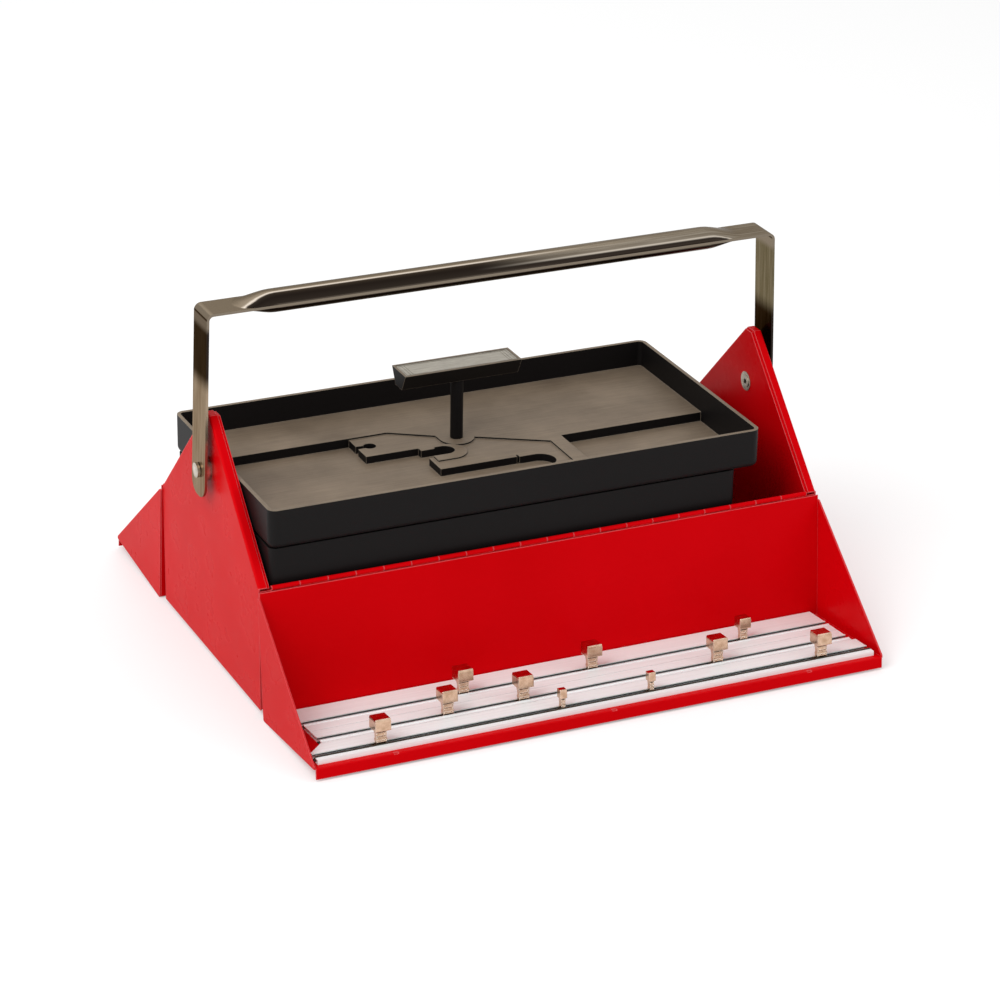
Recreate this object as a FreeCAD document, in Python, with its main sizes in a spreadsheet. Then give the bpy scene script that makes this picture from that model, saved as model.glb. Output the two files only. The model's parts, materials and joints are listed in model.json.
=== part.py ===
import FreeCAD, Part
import Sketcher
import os
import re

# Tool box with two outward-swinging lids, a carrying bail, a lift-out tray and a lower bin.
# X runs along the box, the front lid opens towards -Y, +Z is up, and the ground is at zero.
# The lids are shown open, leaning out from the body.

SIZES = {
    # Pressed steel body
    "body_length": 418.0,
    "body_depth": 188.0,
    "foot_height": 3.3,
    "apex_half": 4.6,
    "sheet": 1.0,
    "fold_radius": 1.6,
    "slope_flange": 6.0,
    "liner_flange": 8.0,
    "liner_side_gap": 0.3,
    "weld_flange": 5.5,
    "weld_drop": 16.0,
    "hem_width": 9.0,
    # Piano hinges along both shoulders
    "hinge_offset": 0.6,
    "hinge_leaf": 0.5,
    "hinge_leaf_width": 16.0,
    "hinge_leaf_setback": 1.85,
    "knuckle_radius": 1.6,
    "knuckle_pairs": 10,
    "knuckle_gap": 0.2,
    "pin_radius": 0.8,
    "pin_clearance": 0.05,
    "hinge_end_gap": 0.5,
    "wall_top_setback": 2.0,
    "lid_edge_setback": 2.0,
    # Lids
    "lid_open_angle": 175.0,
    "lid_headroom": 2.4,
    "lid_side_gap": 0.5,
    "lid_end_sheet": 1.0,
    "lid_meeting_gap": 2.4,
    "lip_width": 7.8,
    "lip_notch_width": 3.2,
    "lip_notch_reach": 2.2,
    "lip_notch_depth": 0.6,
    "lid_end_cut": 5.5,
    # Socket rails in the front lid
    "rail_wall_gap": 0.5,
    "rail_gap": 0.5,
    "rail_lip_gap": 4.0,
    "rail_height": 3.4,
    "rail_wall": 0.8,
    "rail_slot": 4.4,
    "rail_bead": 0.4,
    "rail_bead_width": 1.3,
    "short_rail_left_gap": 16.5,
    "short_rail_right_gap": 6.5,
    "long_rail_gap": 3.5,
    "rail_corner_depth": 12.4,
    "rail_rivet_radius": 1.6,
    "rail_rivet_head": 2.8,
    "rail_rivet_head_height": 0.5,
    # Socket clips
    "large_head": 11.2,
    "large_head_height": 8.6,
    "large_neck": 9.5,
    "medium_head": 8.7,
    "medium_head_height": 7.6,
    "medium_neck": 8.6,
    "small_head": 5.2,
    "small_head_height": 6.4,
    "small_neck": 6.4,
    "clip_metal": 0.7,
    "clip_running_gap": 0.2,
    "clip_side_gap": 0.4,
    "clip_foot_width": 10.0,
    "clip_foot_height": 1.2,
    # Carrying bail
    "handle_width": 25.0,
    "handle_strip": 1.8,
    "handle_inset": 3.8,
    "handle_lid_gap": 3.5,
    "handle_tail": 18.5,
    "handle_end_flat": 2.0,
    "handle_corner_radius": 5.0,
    "pivot_below_apex": 39.7,
    "grip_height": 14.3,
    "grip_crown": 7.8,
    "grip_end_flat": 50.7,
    "grip_lead": 29.0,
    "grip_wall": 1.8,
    "rivet_radius": 3.0,
    "rivet_bore": 1.8,
    "rivet_hole_clearance": 0.05,
    "rivet_head_radius": 5.2,
    "rivet_head_height": 2.0,
    "rivet_tail_radius": 4.6,
    "rivet_tail_height": 0.4,
    "washer_radius": 7.0,
    "washer_thickness": 0.5,
    "spacer_radius": 8.5,
    "spacer_thickness": 4.6,
    "handle_play": 0.15,
    # Lower bin
    "bin_end_gap": 2.0,
    "bin_right_space": 62.0,
    "bin_side_gap": 2.0,
    "bin_corner_radius": 5.0,
    "bin_bottom_radius": 3.0,
    "bin_wall": 2.2,
    # Lift-out tray
    "tray_end_gap": 1.2,
    "tray_right_space": 45.0,
    "tray_side_gap": 0.8,
    "tray_below_apex": 63.7,
    "tray_height": 28.0,
    "tray_wall": 2.6,
    "tray_floor": 2.0,
    "tray_corner_radius": 6.0,
    "tray_bottom_radius": 4.5,
    "tray_seat_gap": 0.3,
    "tray_lap": 0.6,
    "tray_skin": 2.0,
    "shelf_height": 9.0,
    "plateau_height": 7.6,
    "small_slot_radius": 2.4,
    "small_slot_end": 4.6,
    "middle_slot_radius": 7.1,
    "large_slot_radius": 10.8,
    "collar_radius": 12.5,
    "collar_height": 1.2,
    "nick_width": 1.6,
    "nick_depth": 3.0,
    # T-shaped tray grip
    "post_x": 18.1,
    "post_y": 17.5,
    "post_radius": 4.5,
    "tongue_radius": 12.5,
    "bar_length": 88.0,
    "bar_width": 24.0,
    "bar_base_width": 11.0,
    "bar_height": 12.0,
    "bar_lid_gap": 0.8,
    "plate_margin": 1.8,
    "plate_recess": 0.6,
    "screw_radius": 2.0,
    "screw_head_radius": 4.0,
    "screw_head_height": 1.6,
    "screw_length": 16.0,
    # Rubber feet
    "foot_radius": 9.0,
    "foot_inset_x": 26.0,
    "foot_inset_y": 22.0,
    "foot_rivet_radius": 2.0,
    "foot_rivet_head": 4.0,
    "foot_rivet_head_height": 1.0,
    "overrun": 1.0,
}

# Lengths that follow from the sizes above
DERIVED = {
    "half_length": "body_length / 2",
    "half_depth": "body_depth / 2",
    "underside": "foot_height",
    "floor_top": "underside + sheet",
    # The slopes stand at 45 degrees, and the walls are as tall as the slopes, so that an open lid
    # hangs just clear of the ground.
    "gable_rise": "half_depth - apex_half",
    "shoulder_z": "foot_height + gable_rise",
    "apex_z": "shoulder_z + gable_rise",
    "plate_inside": "half_length - sheet",
    "liner_face": "half_length - liner_flange",
    "hinge_y": "half_depth + hinge_offset",
    "hinge_half": "half_length - liner_flange - hinge_end_gap",
    "knuckle_pitch": "hinge_half / knuckle_pairs",
    "lid_height": "gable_rise + lid_headroom",
    "lid_outer": "lid_height + sheet",
    "lid_wall_in": "hinge_offset + sheet",
    "lip_out": "hinge_y - lid_meeting_gap / 2",
    "lid_end_in": "half_length + lid_side_gap",
    "lid_end_out": "lid_end_in + lid_end_sheet",
    # The three rails together fill the lid's depth.
    "rails_depth": "lip_out - sheet - lid_wall_in - rail_wall_gap - rail_lip_gap",
    "rail_top": "lid_height - rail_height",
    "rail_inside_top": "lid_height - rail_height + rail_wall",
    "short_rail_left": "lid_end_in - short_rail_left_gap",
    "short_rail_right": "lid_end_in - short_rail_right_gap",
    "long_rail_half": "lid_end_in - long_rail_gap",
    "clip_stem": "rail_slot - 2 * clip_side_gap",
    "pivot_z": "apex_z - pivot_below_apex",
    "closed_top": "shoulder_z + lid_outer - pivot_z",
    "closed_corner": "sqrt(half_depth * half_depth + closed_top * closed_top)",
    # The grip swings over the closed lids' outer corners.
    "handle_reach": "closed_corner + handle_lid_gap + grip_height - grip_crown + handle_strip",
    "bail_top": "pivot_z + handle_reach",
    "arm_lean": "handle_inset / handle_reach",
    "spacer_lean": "arm_lean * spacer_radius",
    "handle_outer": "half_length + spacer_thickness + spacer_lean + handle_play + handle_strip",
    "bail_top_outer": "handle_outer - handle_inset",
    "grip_half_length": "bail_top_outer - grip_end_flat",
    "tray_base": "apex_z - tray_below_apex",
    "tray_left": "liner_face - tray_end_gap",
    "tray_right": "half_length - tray_right_space",
    "tray_half_depth": "hinge_y - lid_wall_in - tray_side_gap",
    "tray_middle": "(tray_right - tray_left) / 2",
    "tray_half_span": "(tray_right + tray_left) / 2",
    "bin_base": "floor_top + foot_rivet_head_height / 2 + tray_seat_gap",
    "bin_height": "tray_base - tray_seat_gap - bin_base",
    "bin_left": "liner_face - bin_end_gap",
    "bin_right": "half_length - bin_right_space",
    "bin_half_depth": "half_depth - 2 * sheet - bin_side_gap",
    "shelf_z": "tray_base + shelf_height",
    "bar_top": "shoulder_z + lid_height - bar_lid_gap",
    "bar_base": "bar_top - bar_height",
}

# Places across the lid from its wall, as shares of the depth that the three rails fill
SLOT_SHARES = (0.290, 0.626, 0.907)
RAIL_EDGE_SHARES = (0, 0.458, 0.701, 1)
# Places along the rails, as shares of the rails' length either side of the middle
RIVET_SHARES = (-0.88, 0.0, 0.88)
BACK_CLIP_SHARES = (-0.371, 0.096, 0.662)
MIDDLE_CLIP_SHARES = (-0.488, -0.219, 0.491)
FRONT_CLIP_SHARES = (-0.770, -0.134, 0.186, 0.819)
LIP_NOTCH_SHARES = (-0.732, 0.024, 0.732)
# Sections of the grip's narrowing ends, as shares of their length
GRIP_LEAD_SHARES = (0.0, 0.25, 0.5, 0.75, 1.0)

# Places in the tray, as shares of half its length (along X) and half its depth (along Y)
SHELF_LEFT_SHARE = 0.472
SHELF_RIGHT_SHARE = -0.081
SHELF_BEND_SHARES = (-0.232, 0.472)
SHELF_NECK_SHARES = (-0.071, 0.274)
RIDGE_SHARES = (0.321, 0.379)
RIDGE_REAR_SHARE = -0.145
TAB_SHARES = (-0.389, 0.130)
STEP_SHARES = (-0.173, -0.297)
PLATEAU_END_SHARE = 0.152
SMALL_SLOT_SHARES = (-0.337, 0.312)
MIDDLE_SLOT_SHARES = (-0.092, 0.001)
LARGE_SLOT_SHARES = (0.214, -0.422)
COLLAR_SHARES = (-0.080, -0.033)
COLLAR_LEFT_SHARE = -0.154

# Head width, head height and neck height of a clip, in that order
LARGE_HEAD = ("large_head", "large_head_height", "large_neck")
MEDIUM_HEAD = ("medium_head", "medium_head_height", "medium_neck")
SMALL_HEAD = ("small_head", "small_head_height", "small_neck")

doc = FreeCAD.newDocument("ToolBox")
sheet = doc.addObject("Spreadsheet::Sheet", "Sizes")
for row, (alias, value) in enumerate(SIZES.items(), start=1):
    sheet.set("A%d" % row, alias)
    sheet.set("B%d" % row, str(value))
    sheet.setAlias("B%d" % row, alias)
doc.recompute()

sub_parts = []


def bound(text):
    """The expression with each name replaced by its cell or by what it is derived from."""

    def swap(match):
        word = match.group()
        if word in SIZES:
            return "Sizes." + word
        if word in DERIVED:
            return "(" + bound(DERIVED[word]) + ")"
        return word

    return re.sub(r"[a-z][a-z_]*", swap, str(text))


def size(text):
    """The value of an expression in millimetres, degrees or a count."""
    result = sheet.evalExpression(bound(text))
    return float(getattr(result, "Value", result))


def bind(thing, **expressions):
    for name, text in expressions.items():
        thing.setExpression(name.replace("__", "."), bound(text))
    return thing


def place(thing, x="0", y="0", z="0", axis=(0, 0, 1), angle="0"):
    thing.Placement = FreeCAD.Placement(FreeCAD.Vector(0, 0, 0), FreeCAD.Rotation(FreeCAD.Vector(*axis), 1))
    bind(thing, Placement__Base__x=x, Placement__Base__y=y, Placement__Base__z=z)
    bind(thing, Placement__Rotation__Angle=angle)
    return thing


def node(thing, name):
    """Marks a finished sub-part and gives it the name that it is written under."""
    thing.Label = name
    sub_parts.append(thing)
    return thing


def in_lid(thing):
    """Puts a piece drawn from the hinge axis, lid closed, where the open front lid is."""
    return place(thing, y="-hinge_y", z="shoulder_z", axis=(1, 0, 0), angle="lid_open_angle")


def mirrored(source, name, normal):
    copy = doc.addObject("Part::Mirroring", name)
    copy.Source = source
    copy.Normal = normal
    return node(copy, name)


def new_sketch(body, plane, offset="0"):
    sketch = body.newObject("Sketcher::SketchObject", body.Name + "_sketch")
    origin_plane = [item for item in body.Origin.OriginFeatures if item.Role == plane][0]
    sketch.AttachmentSupport = (origin_plane, [""])
    sketch.MapMode = "FlatFace"
    bind(sketch, AttachmentOffset__Base__z=offset)
    return sketch


def pin_point(sketch, index, end, x, y):
    """Holds one end of a line, or a centre, at a place given by two expressions."""
    across = sketch.addConstraint(Sketcher.Constraint("DistanceX", -1, 1, index, end, size(x)))
    sketch.setExpression("Constraints[%d]" % across, bound(x))
    along = sketch.addConstraint(Sketcher.Constraint("DistanceY", -1, 1, index, end, size(y)))
    sketch.setExpression("Constraints[%d]" % along, bound(y))


def draw_outline(sketch, points):
    """Draws a closed outline of straight lines through the points."""
    places = [FreeCAD.Vector(size(x), size(y), 0) for x, y in points]
    count = len(points)
    first = sketch.GeometryCount
    for index in range(count):
        sketch.addGeometry(Part.LineSegment(places[index], places[(index + 1) % count]))
    for index in range(count):
        following = first + (index + 1) % count
        sketch.addConstraint(Sketcher.Constraint("Coincident", first + index, 2, following, 1))
    for index, (x, y) in enumerate(points):
        pin_point(sketch, first + index, 1, x, y)


def draw_circle(sketch, x, y, radius):
    centre = FreeCAD.Vector(size(x), size(y), 0)
    index = sketch.addGeometry(Part.Circle(centre, FreeCAD.Vector(0, 0, 1), size(radius)))
    pin_point(sketch, index, 3, x, y)
    turn = sketch.addConstraint(Sketcher.Constraint("Radius", index, size(radius)))
    sketch.setExpression("Constraints[%d]" % turn, bound(radius))


def rectangle(x_low, x_high, y_low, y_high):
    return [(x_low, y_low), (x_high, y_low), (x_high, y_high), (x_low, y_high)]


def new_body(name):
    return doc.addObject("PartDesign::Body", name)


def extrude(body, kind, sketch, length, symmetric=False, backwards=False):
    feature = body.newObject("PartDesign::" + kind, body.Name + "_" + kind.lower())
    feature.Profile = sketch
    if symmetric:
        feature.SideType = "Symmetric"
    feature.Reversed = backwards
    bind(feature, Length=length)
    sketch.Visibility = False
    return feature


def pad(body, plane, points, length, offset="0", symmetric=False, backwards=False):
    sketch = new_sketch(body, plane, offset)
    draw_outline(sketch, points)
    return extrude(body, "Pad", sketch, length, symmetric, backwards)


def pocket(body, plane, points, length, offset="0", symmetric=False, backwards=False):
    sketch = new_sketch(body, plane, offset)
    draw_outline(sketch, points)
    return extrude(body, "Pocket", sketch, length, symmetric, backwards)


def round_pocket(body, plane, circles, length, offset="0", symmetric=False, backwards=False):
    sketch = new_sketch(body, plane, offset)
    for x, y, radius in circles:
        draw_circle(sketch, x, y, radius)
    return extrude(body, "Pocket", sketch, length, symmetric, backwards)


def round_pad(body, plane, circles, length, offset="0", symmetric=False, backwards=False):
    sketch = new_sketch(body, plane, offset)
    for x, y, radius in circles:
        draw_circle(sketch, x, y, radius)
    return extrude(body, "Pad", sketch, length, symmetric, backwards)


def round_edges(body, radius, wanted):
    """Rounds the edges of the body's last feature that the test picks by their middle."""
    doc.recompute()
    base = body.Tip
    names = []
    for index, edge in enumerate(base.Shape.Edges, start=1):
        middle = edge.valueAt((edge.FirstParameter + edge.LastParameter) / 2)
        if wanted(edge, middle):
            names.append("Edge%d" % index)
    feature = body.newObject("PartDesign::Fillet", body.Name + "_fillet")
    feature.Base = (base, names)
    bind(feature, Radius=radius)
    return feature


def near(value, text):
    return abs(value - size(text)) < size("sheet") / 50


def box(name, x_low, x_high, y_low, y_high, z_low, z_high):
    block = doc.addObject("Part::Box", name)
    bind(block, Length="%s - (%s)" % (x_high, x_low), Width="%s - (%s)" % (y_high, y_low))
    bind(block, Height="%s - (%s)" % (z_high, z_low))
    bind(block, Placement__Base__x=x_low, Placement__Base__y=y_low, Placement__Base__z=z_low)
    return block


def cylinder(name, radius, length, x="0", y="0", z="0", along_x=False):
    rod = doc.addObject("Part::Cylinder", name)
    if along_x:
        rod.Placement = FreeCAD.Placement(FreeCAD.Vector(), FreeCAD.Rotation(FreeCAD.Vector(0, 1, 0), 90))
    bind(rod, Radius=radius, Height=length)
    bind(rod, Placement__Base__x=x, Placement__Base__y=y, Placement__Base__z=z)
    return rod


def fused(name, shapes):
    joined = doc.addObject("Part::MultiFuse", name)
    joined.Shapes = shapes
    return joined


def cut(name, base, tool):
    result = doc.addObject("Part::Cut", name)
    result.Base = base
    result.Tool = tool
    return result


def grouped(name, shapes):
    group = doc.addObject("Part::Compound", name)
    group.Links = shapes
    return group


def make_tub():
    """Front wall, floor and rear wall in one folded sheet, with a hem inside each top edge."""
    body = new_body("body_tub")
    top = "shoulder_z - wall_top_setback"
    inner = "half_depth - sheet"
    hem = "half_depth - 2 * sheet"
    hem_low = "shoulder_z - wall_top_setback - hem_width"
    points = [
        ("-half_depth", "underside"), ("half_depth", "underside"),
        ("half_depth", top), (hem, top), (hem, hem_low), (inner, hem_low),
        (inner, "floor_top"), ("-(%s)" % inner, "floor_top"),
        ("-(%s)" % inner, hem_low), ("-(%s)" % hem, hem_low), ("-(%s)" % hem, top),
        ("-half_depth", top),
    ]
    pad(body, "YZ_Plane", points, "2 * plate_inside", symmetric=True)
    round_edges(body, "fold_radius", lambda edge, middle: near(middle.z, "underside")
                and near(abs(middle.y), "half_depth") and near(middle.x, "0"))
    holes = [(x, y, "foot_rivet_radius") for x, y in foot_places()]
    round_pocket(body, "XY_Plane", holes, "2 * sheet", offset="floor_top", backwards=False)
    return node(body, "body_tub")


def foot_places():
    across = "half_length - foot_inset_x"
    along = "half_depth - foot_inset_y"
    return [(sx + "(%s)" % across, sy + "(%s)" % along) for sx in ("-", "") for sy in ("-", "")]


def gable_outline(inset, bottom):
    """Outline of a gable from its bottom edge to the apex, set in by a thickness."""
    # A slope moved in squarely by the inset meets the level lines this much further in.
    slope = "(%s) * sqrt(2)" % inset
    top = "apex_z - (%s)" % inset
    foot_y = "half_depth - (%s)" % inset
    turn_z = "shoulder_z + (%s) - %s" % (inset, slope)
    apex_y = "apex_half + (%s) - %s" % (inset, slope)
    return [
        ("-(%s)" % foot_y, bottom), (foot_y, bottom), (foot_y, turn_z), (apex_y, top),
        ("-(%s)" % apex_y, top), ("-(%s)" % foot_y, turn_z),
    ]


def make_end_plate():
    """Left end plate, its slope flanges turned in and weld flanges inside the tub."""
    body = new_body("left_end_plate")
    upper = [
        ("-half_depth", "shoulder_z"), ("half_depth", "shoulder_z"),
        ("apex_half", "apex_z"), ("-apex_half", "apex_z"),
    ]
    pad(body, "YZ_Plane", upper, "slope_flange", offset="-half_length")
    round_edges(body, "fold_radius", lambda edge, middle: near(middle.x, "-half_length")
                and middle.z > size("shoulder_z + overrun"))
    hollow = gable_outline("sheet", "shoulder_z - overrun")
    pocket(body, "YZ_Plane", hollow, "slope_flange + overrun", offset="-plate_inside", backwards=True)
    lower = rectangle("-half_depth", "half_depth", "underside", "shoulder_z")
    pad(body, "YZ_Plane", lower, "sheet", offset="-half_length")
    weld_side = "half_depth - sheet"
    weld_top = "shoulder_z - wall_top_setback - hem_width - weld_drop"
    for side in ("-", ""):
        strip = rectangle(side + "(%s)" % weld_side, side + "(%s - sheet)" % weld_side,
                          "floor_top", weld_top)
        pad(body, "YZ_Plane", strip, "weld_flange", offset="-plate_inside")
    floor_strip = rectangle("-(%s)" % weld_side, weld_side, "floor_top", "floor_top + sheet")
    pad(body, "YZ_Plane", floor_strip, "weld_flange", offset="-plate_inside")
    hole = [("0", "pivot_z", "rivet_radius + rivet_hole_clearance")]
    round_pocket(body, "YZ_Plane", hole, "4 * sheet", offset="-half_length", symmetric=True)
    return node(body, "left_end_plate")


def make_gable_liner():
    """Inner end panel; its slope flanges turn out and nest under those of the end plate."""
    body = new_body("left_gable_liner")
    outline = gable_outline("sheet", "shoulder_z - sheet")
    pad(body, "YZ_Plane", outline, "liner_flange - sheet", offset="-plate_inside")
    hollow = gable_outline("2 * sheet", "shoulder_z - 2 * sheet")
    pocket(body, "YZ_Plane", hollow, "liner_flange - 2 * sheet", offset="-plate_inside", backwards=True)
    side = "half_depth - 2 * sheet - liner_side_gap"
    skirt = rectangle("-(%s)" % side, side, "floor_top", "shoulder_z")
    pad(body, "YZ_Plane", skirt, "sheet", offset="-(liner_face + sheet)")
    hole = [("0", "pivot_z", "rivet_radius + rivet_hole_clearance")]
    round_pocket(body, "YZ_Plane", hole, "4 * liner_flange", offset="-half_length", symmetric=True)
    return node(body, "left_gable_liner")


def make_hinge_leaf(name, first_knuckle, upward):
    """One leaf with every second knuckle, drawn from the hinge axis with the lid closed."""
    body = new_body(name)
    sign = "" if upward else "-"
    near_edge = sign + "hinge_leaf_setback"
    far_edge = sign + "(hinge_leaf_setback + hinge_leaf_width)"
    face = "hinge_offset - hinge_leaf"
    strip = rectangle(face, "hinge_offset", near_edge, far_edge)
    pad(body, "YZ_Plane", strip, "2 * hinge_half", symmetric=True)
    length = "knuckle_pitch - knuckle_gap"
    start = "-hinge_half + knuckle_gap / 2 + %d * knuckle_pitch" % first_knuckle
    web_end = sign + "(knuckle_radius + pin_radius + pin_clearance) / 2"
    web = rectangle(face, "hinge_offset", web_end, near_edge)
    web_pad = pad(body, "YZ_Plane", web, length, offset=start)
    ring = new_sketch(body, "YZ_Plane", start)
    draw_circle(ring, "0", "0", "knuckle_radius")
    draw_circle(ring, "0", "0", "pin_radius + pin_clearance")
    ring_pad = extrude(body, "Pad", ring, length)
    doc.recompute()
    row = body.newObject("PartDesign::LinearPattern", name + "_row")
    row.Originals = [web_pad, ring_pad]
    row.Direction = (body.Origin.OriginFeatures[0], [""])
    bind(row, Length="2 * knuckle_pitch * (knuckle_pairs - 1)", Occurrences="knuckle_pairs")
    body.Tip = row
    return body


def make_hinges():
    body_leaf = node(make_hinge_leaf("front_hinge_body_leaf", 0, False), "front_hinge_body_leaf")
    place(body_leaf, y="-hinge_y", z="shoulder_z")
    lid_leaf = node(in_lid(make_hinge_leaf("front_hinge_lid_leaf", 1, True)), "front_hinge_lid_leaf")
    pin = cylinder("front_hinge_pin", "pin_radius", "2 * hinge_half", "-hinge_half", "-hinge_y",
                   "shoulder_z", along_x=True)
    node(pin, "front_hinge_pin")
    mirrored(body_leaf, "rear_hinge_body_leaf", (0, 1, 0))
    mirrored(lid_leaf, "rear_hinge_lid_leaf", (0, 1, 0))
    mirrored(pin, "rear_hinge_pin", (0, 1, 0))


def make_lid_panel():
    """Lid wall, top panel and turned lip, drawn closed from the hinge axis."""
    body = new_body("front_lid_panel")
    points = [
        ("hinge_offset", "lid_edge_setback"), ("lid_wall_in", "lid_edge_setback"),
        ("lid_wall_in", "lid_height"), ("lip_out", "lid_height"), ("lip_out", "lid_height + lip_width"),
        ("lip_out - sheet", "lid_height + lip_width"), ("lip_out - sheet", "lid_outer"),
        ("hinge_offset", "lid_outer"),
    ]
    pad(body, "YZ_Plane", points, "2 * lid_end_in", symmetric=True)
    round_edges(body, "fold_radius", lambda edge, middle: near(middle.z, "lid_outer")
                and near(middle.y, "hinge_offset"))
    round_edges(body, "fold_radius / 2", lambda edge, middle: near(middle.z, "lid_height")
                and near(middle.y, "lip_out"))
    for share in LIP_NOTCH_SHARES:
        middle = "(%s) * half_length" % share
        notch = rectangle("%s - lip_notch_width / 2" % middle, "%s + lip_notch_width / 2" % middle,
                          "lip_out - lip_notch_reach", "lip_out + overrun")
        pocket(body, "XY_Plane", notch, "lip_notch_depth + overrun", offset="lid_height + lip_notch_depth")
    for row in range(3):
        spots = [("(%s) * short_rail_left" % share, row_y(row), "rail_rivet_radius")
                 for share in RIVET_SHARES]
        round_pocket(body, "XY_Plane", spots, "4 * sheet", offset="lid_height", symmetric=True)
    return node(in_lid(body), "front_lid_panel")


def make_rear_lid_panel():
    """The rear lid has no rails, so its panel is plain."""
    body = new_body("rear_lid_panel")
    points = [
        ("-hinge_offset", "lid_edge_setback"), ("-hinge_offset", "lid_outer"),
        ("-(lip_out - sheet)", "lid_outer"), ("-(lip_out - sheet)", "lid_height + lip_width"),
        ("-lip_out", "lid_height + lip_width"), ("-lip_out", "lid_height"),
        ("-lid_wall_in", "lid_height"), ("-lid_wall_in", "lid_edge_setback"),
    ]
    pad(body, "YZ_Plane", points, "2 * lid_end_in", symmetric=True)
    round_edges(body, "fold_radius", lambda edge, middle: near(middle.z, "lid_outer")
                and near(middle.y, "-hinge_offset"))
    round_edges(body, "fold_radius / 2", lambda edge, middle: near(middle.z, "lid_height")
                and near(middle.y, "-lip_out"))
    place(body, y="hinge_y", z="shoulder_z", axis=(1, 0, 0), angle="-lid_open_angle")
    return node(body, "rear_lid_panel")


def make_lid_end():
    """Three-cornered end of the front lid, outside the end plate of the body."""
    body = new_body("front_lid_left_end")
    points = [
        ("hinge_offset", "lid_end_cut"), ("lid_wall_in + sheet", "lid_end_cut"),
        ("lip_out - sheet", "lid_height - sheet"), ("lip_out - sheet", "lid_outer"),
        ("hinge_offset", "lid_outer"),
    ]
    pad(body, "YZ_Plane", points, "lid_end_sheet", offset="-lid_end_out")
    round_edges(body, "fold_radius", lambda edge, middle: near(middle.z, "lid_outer")
                and near(middle.y, "hinge_offset"))
    return node(in_lid(body), "front_lid_left_end")


def row_y(row):
    """Distance of a rail's slot from the hinge axis, counted from the lid wall."""
    return "lid_wall_in + rail_wall_gap + (%s) * rails_depth" % SLOT_SHARES[row]


def rail_halves(row):
    """How far a rail reaches from its slot towards the lid wall and towards the lip."""
    rear = "(%s - %s) * rails_depth - rail_gap / 2" % (SLOT_SHARES[row], RAIL_EDGE_SHARES[row])
    front = "(%s - %s) * rails_depth - rail_gap / 2" % (RAIL_EDGE_SHARES[row + 1], SLOT_SHARES[row])
    return rear, front


def half_rail(half):
    """Half of a rail's section, from its outer edge over the slot's lip to its inner floor."""
    inner = "(%s) - rail_wall" % half
    bead = "rail_slot / 2 + rail_bead_width"
    slot = "rail_slot / 2"
    return [
        (half, "lid_height"), (half, "rail_top"), (bead, "rail_top"), (bead, "rail_top - rail_bead"),
        (slot, "rail_top - rail_bead"), (slot, "rail_inside_top"), (inner, "rail_inside_top"),
        (inner, "lid_height - rail_wall"),
    ]


def make_rail(name, row, left, right):
    """Slotted channel on the lid's panel; the slot faces into the lid."""
    body = new_body(name)
    middle = row_y(row)
    rear_half, front_half = rail_halves(row)
    points = [("(%s) + (%s)" % (middle, y), z) for y, z in half_rail(front_half)]
    points += [("(%s) - (%s)" % (middle, y), z) for y, z in reversed(half_rail(rear_half))]
    pad(body, "YZ_Plane", points, "(%s) + (%s)" % (left, right), offset="-(%s)" % left)
    return body


def make_rails():
    back = make_rail("back_rail", 0, "short_rail_left", "short_rail_right")
    middle = make_rail("middle_rail", 1, "short_rail_left", "short_rail_right")
    front = make_rail("front_rail", 2, "long_rail_half", "long_rail_half")
    rear_edge = "%s - (%s)" % (row_y(2), rail_halves(2)[0])
    corner = [
        ("-(long_rail_half + overrun)", rear_edge + " - overrun"),
        ("-short_rail_left", rear_edge + " - overrun"),
        ("-long_rail_half", rear_edge + " + rail_corner_depth"),
        ("-(long_rail_half + overrun)", rear_edge + " + rail_corner_depth"),
    ]
    pocket(front, "XY_Plane", corner, "4 * rail_height", offset="lid_height", symmetric=True)
    for row, rail in enumerate((back, middle, front)):
        spots = [("(%s) * short_rail_left" % share, row_y(row), "rail_rivet_radius")
                 for share in RIVET_SHARES]
        round_pocket(rail, "XY_Plane", spots, "rail_height", offset="lid_height", symmetric=True)
        node(in_lid(rail), rail.Name)


def make_rail_rivets():
    """Three flush rivets hold each rail; their heads are outside the lid."""
    rivets = []
    for row in range(3):
        for count, share in enumerate(RIVET_SHARES):
            tag = "rail_rivet_%d_%d" % (row, count)
            x = "(%s) * short_rail_left" % share
            shank = cylinder(tag + "_shank", "rail_rivet_radius", "rail_wall + sheet", x, row_y(row),
                             "lid_height - rail_wall")
            head = cylinder(tag + "_head", "rail_rivet_head", "rail_rivet_head_height", x, row_y(row),
                            "lid_outer")
            rivets.append(fused(tag, [shank, head]))
    return node(in_lid(grouped("rail_rivets", rivets)), "rail_rivets")


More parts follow.
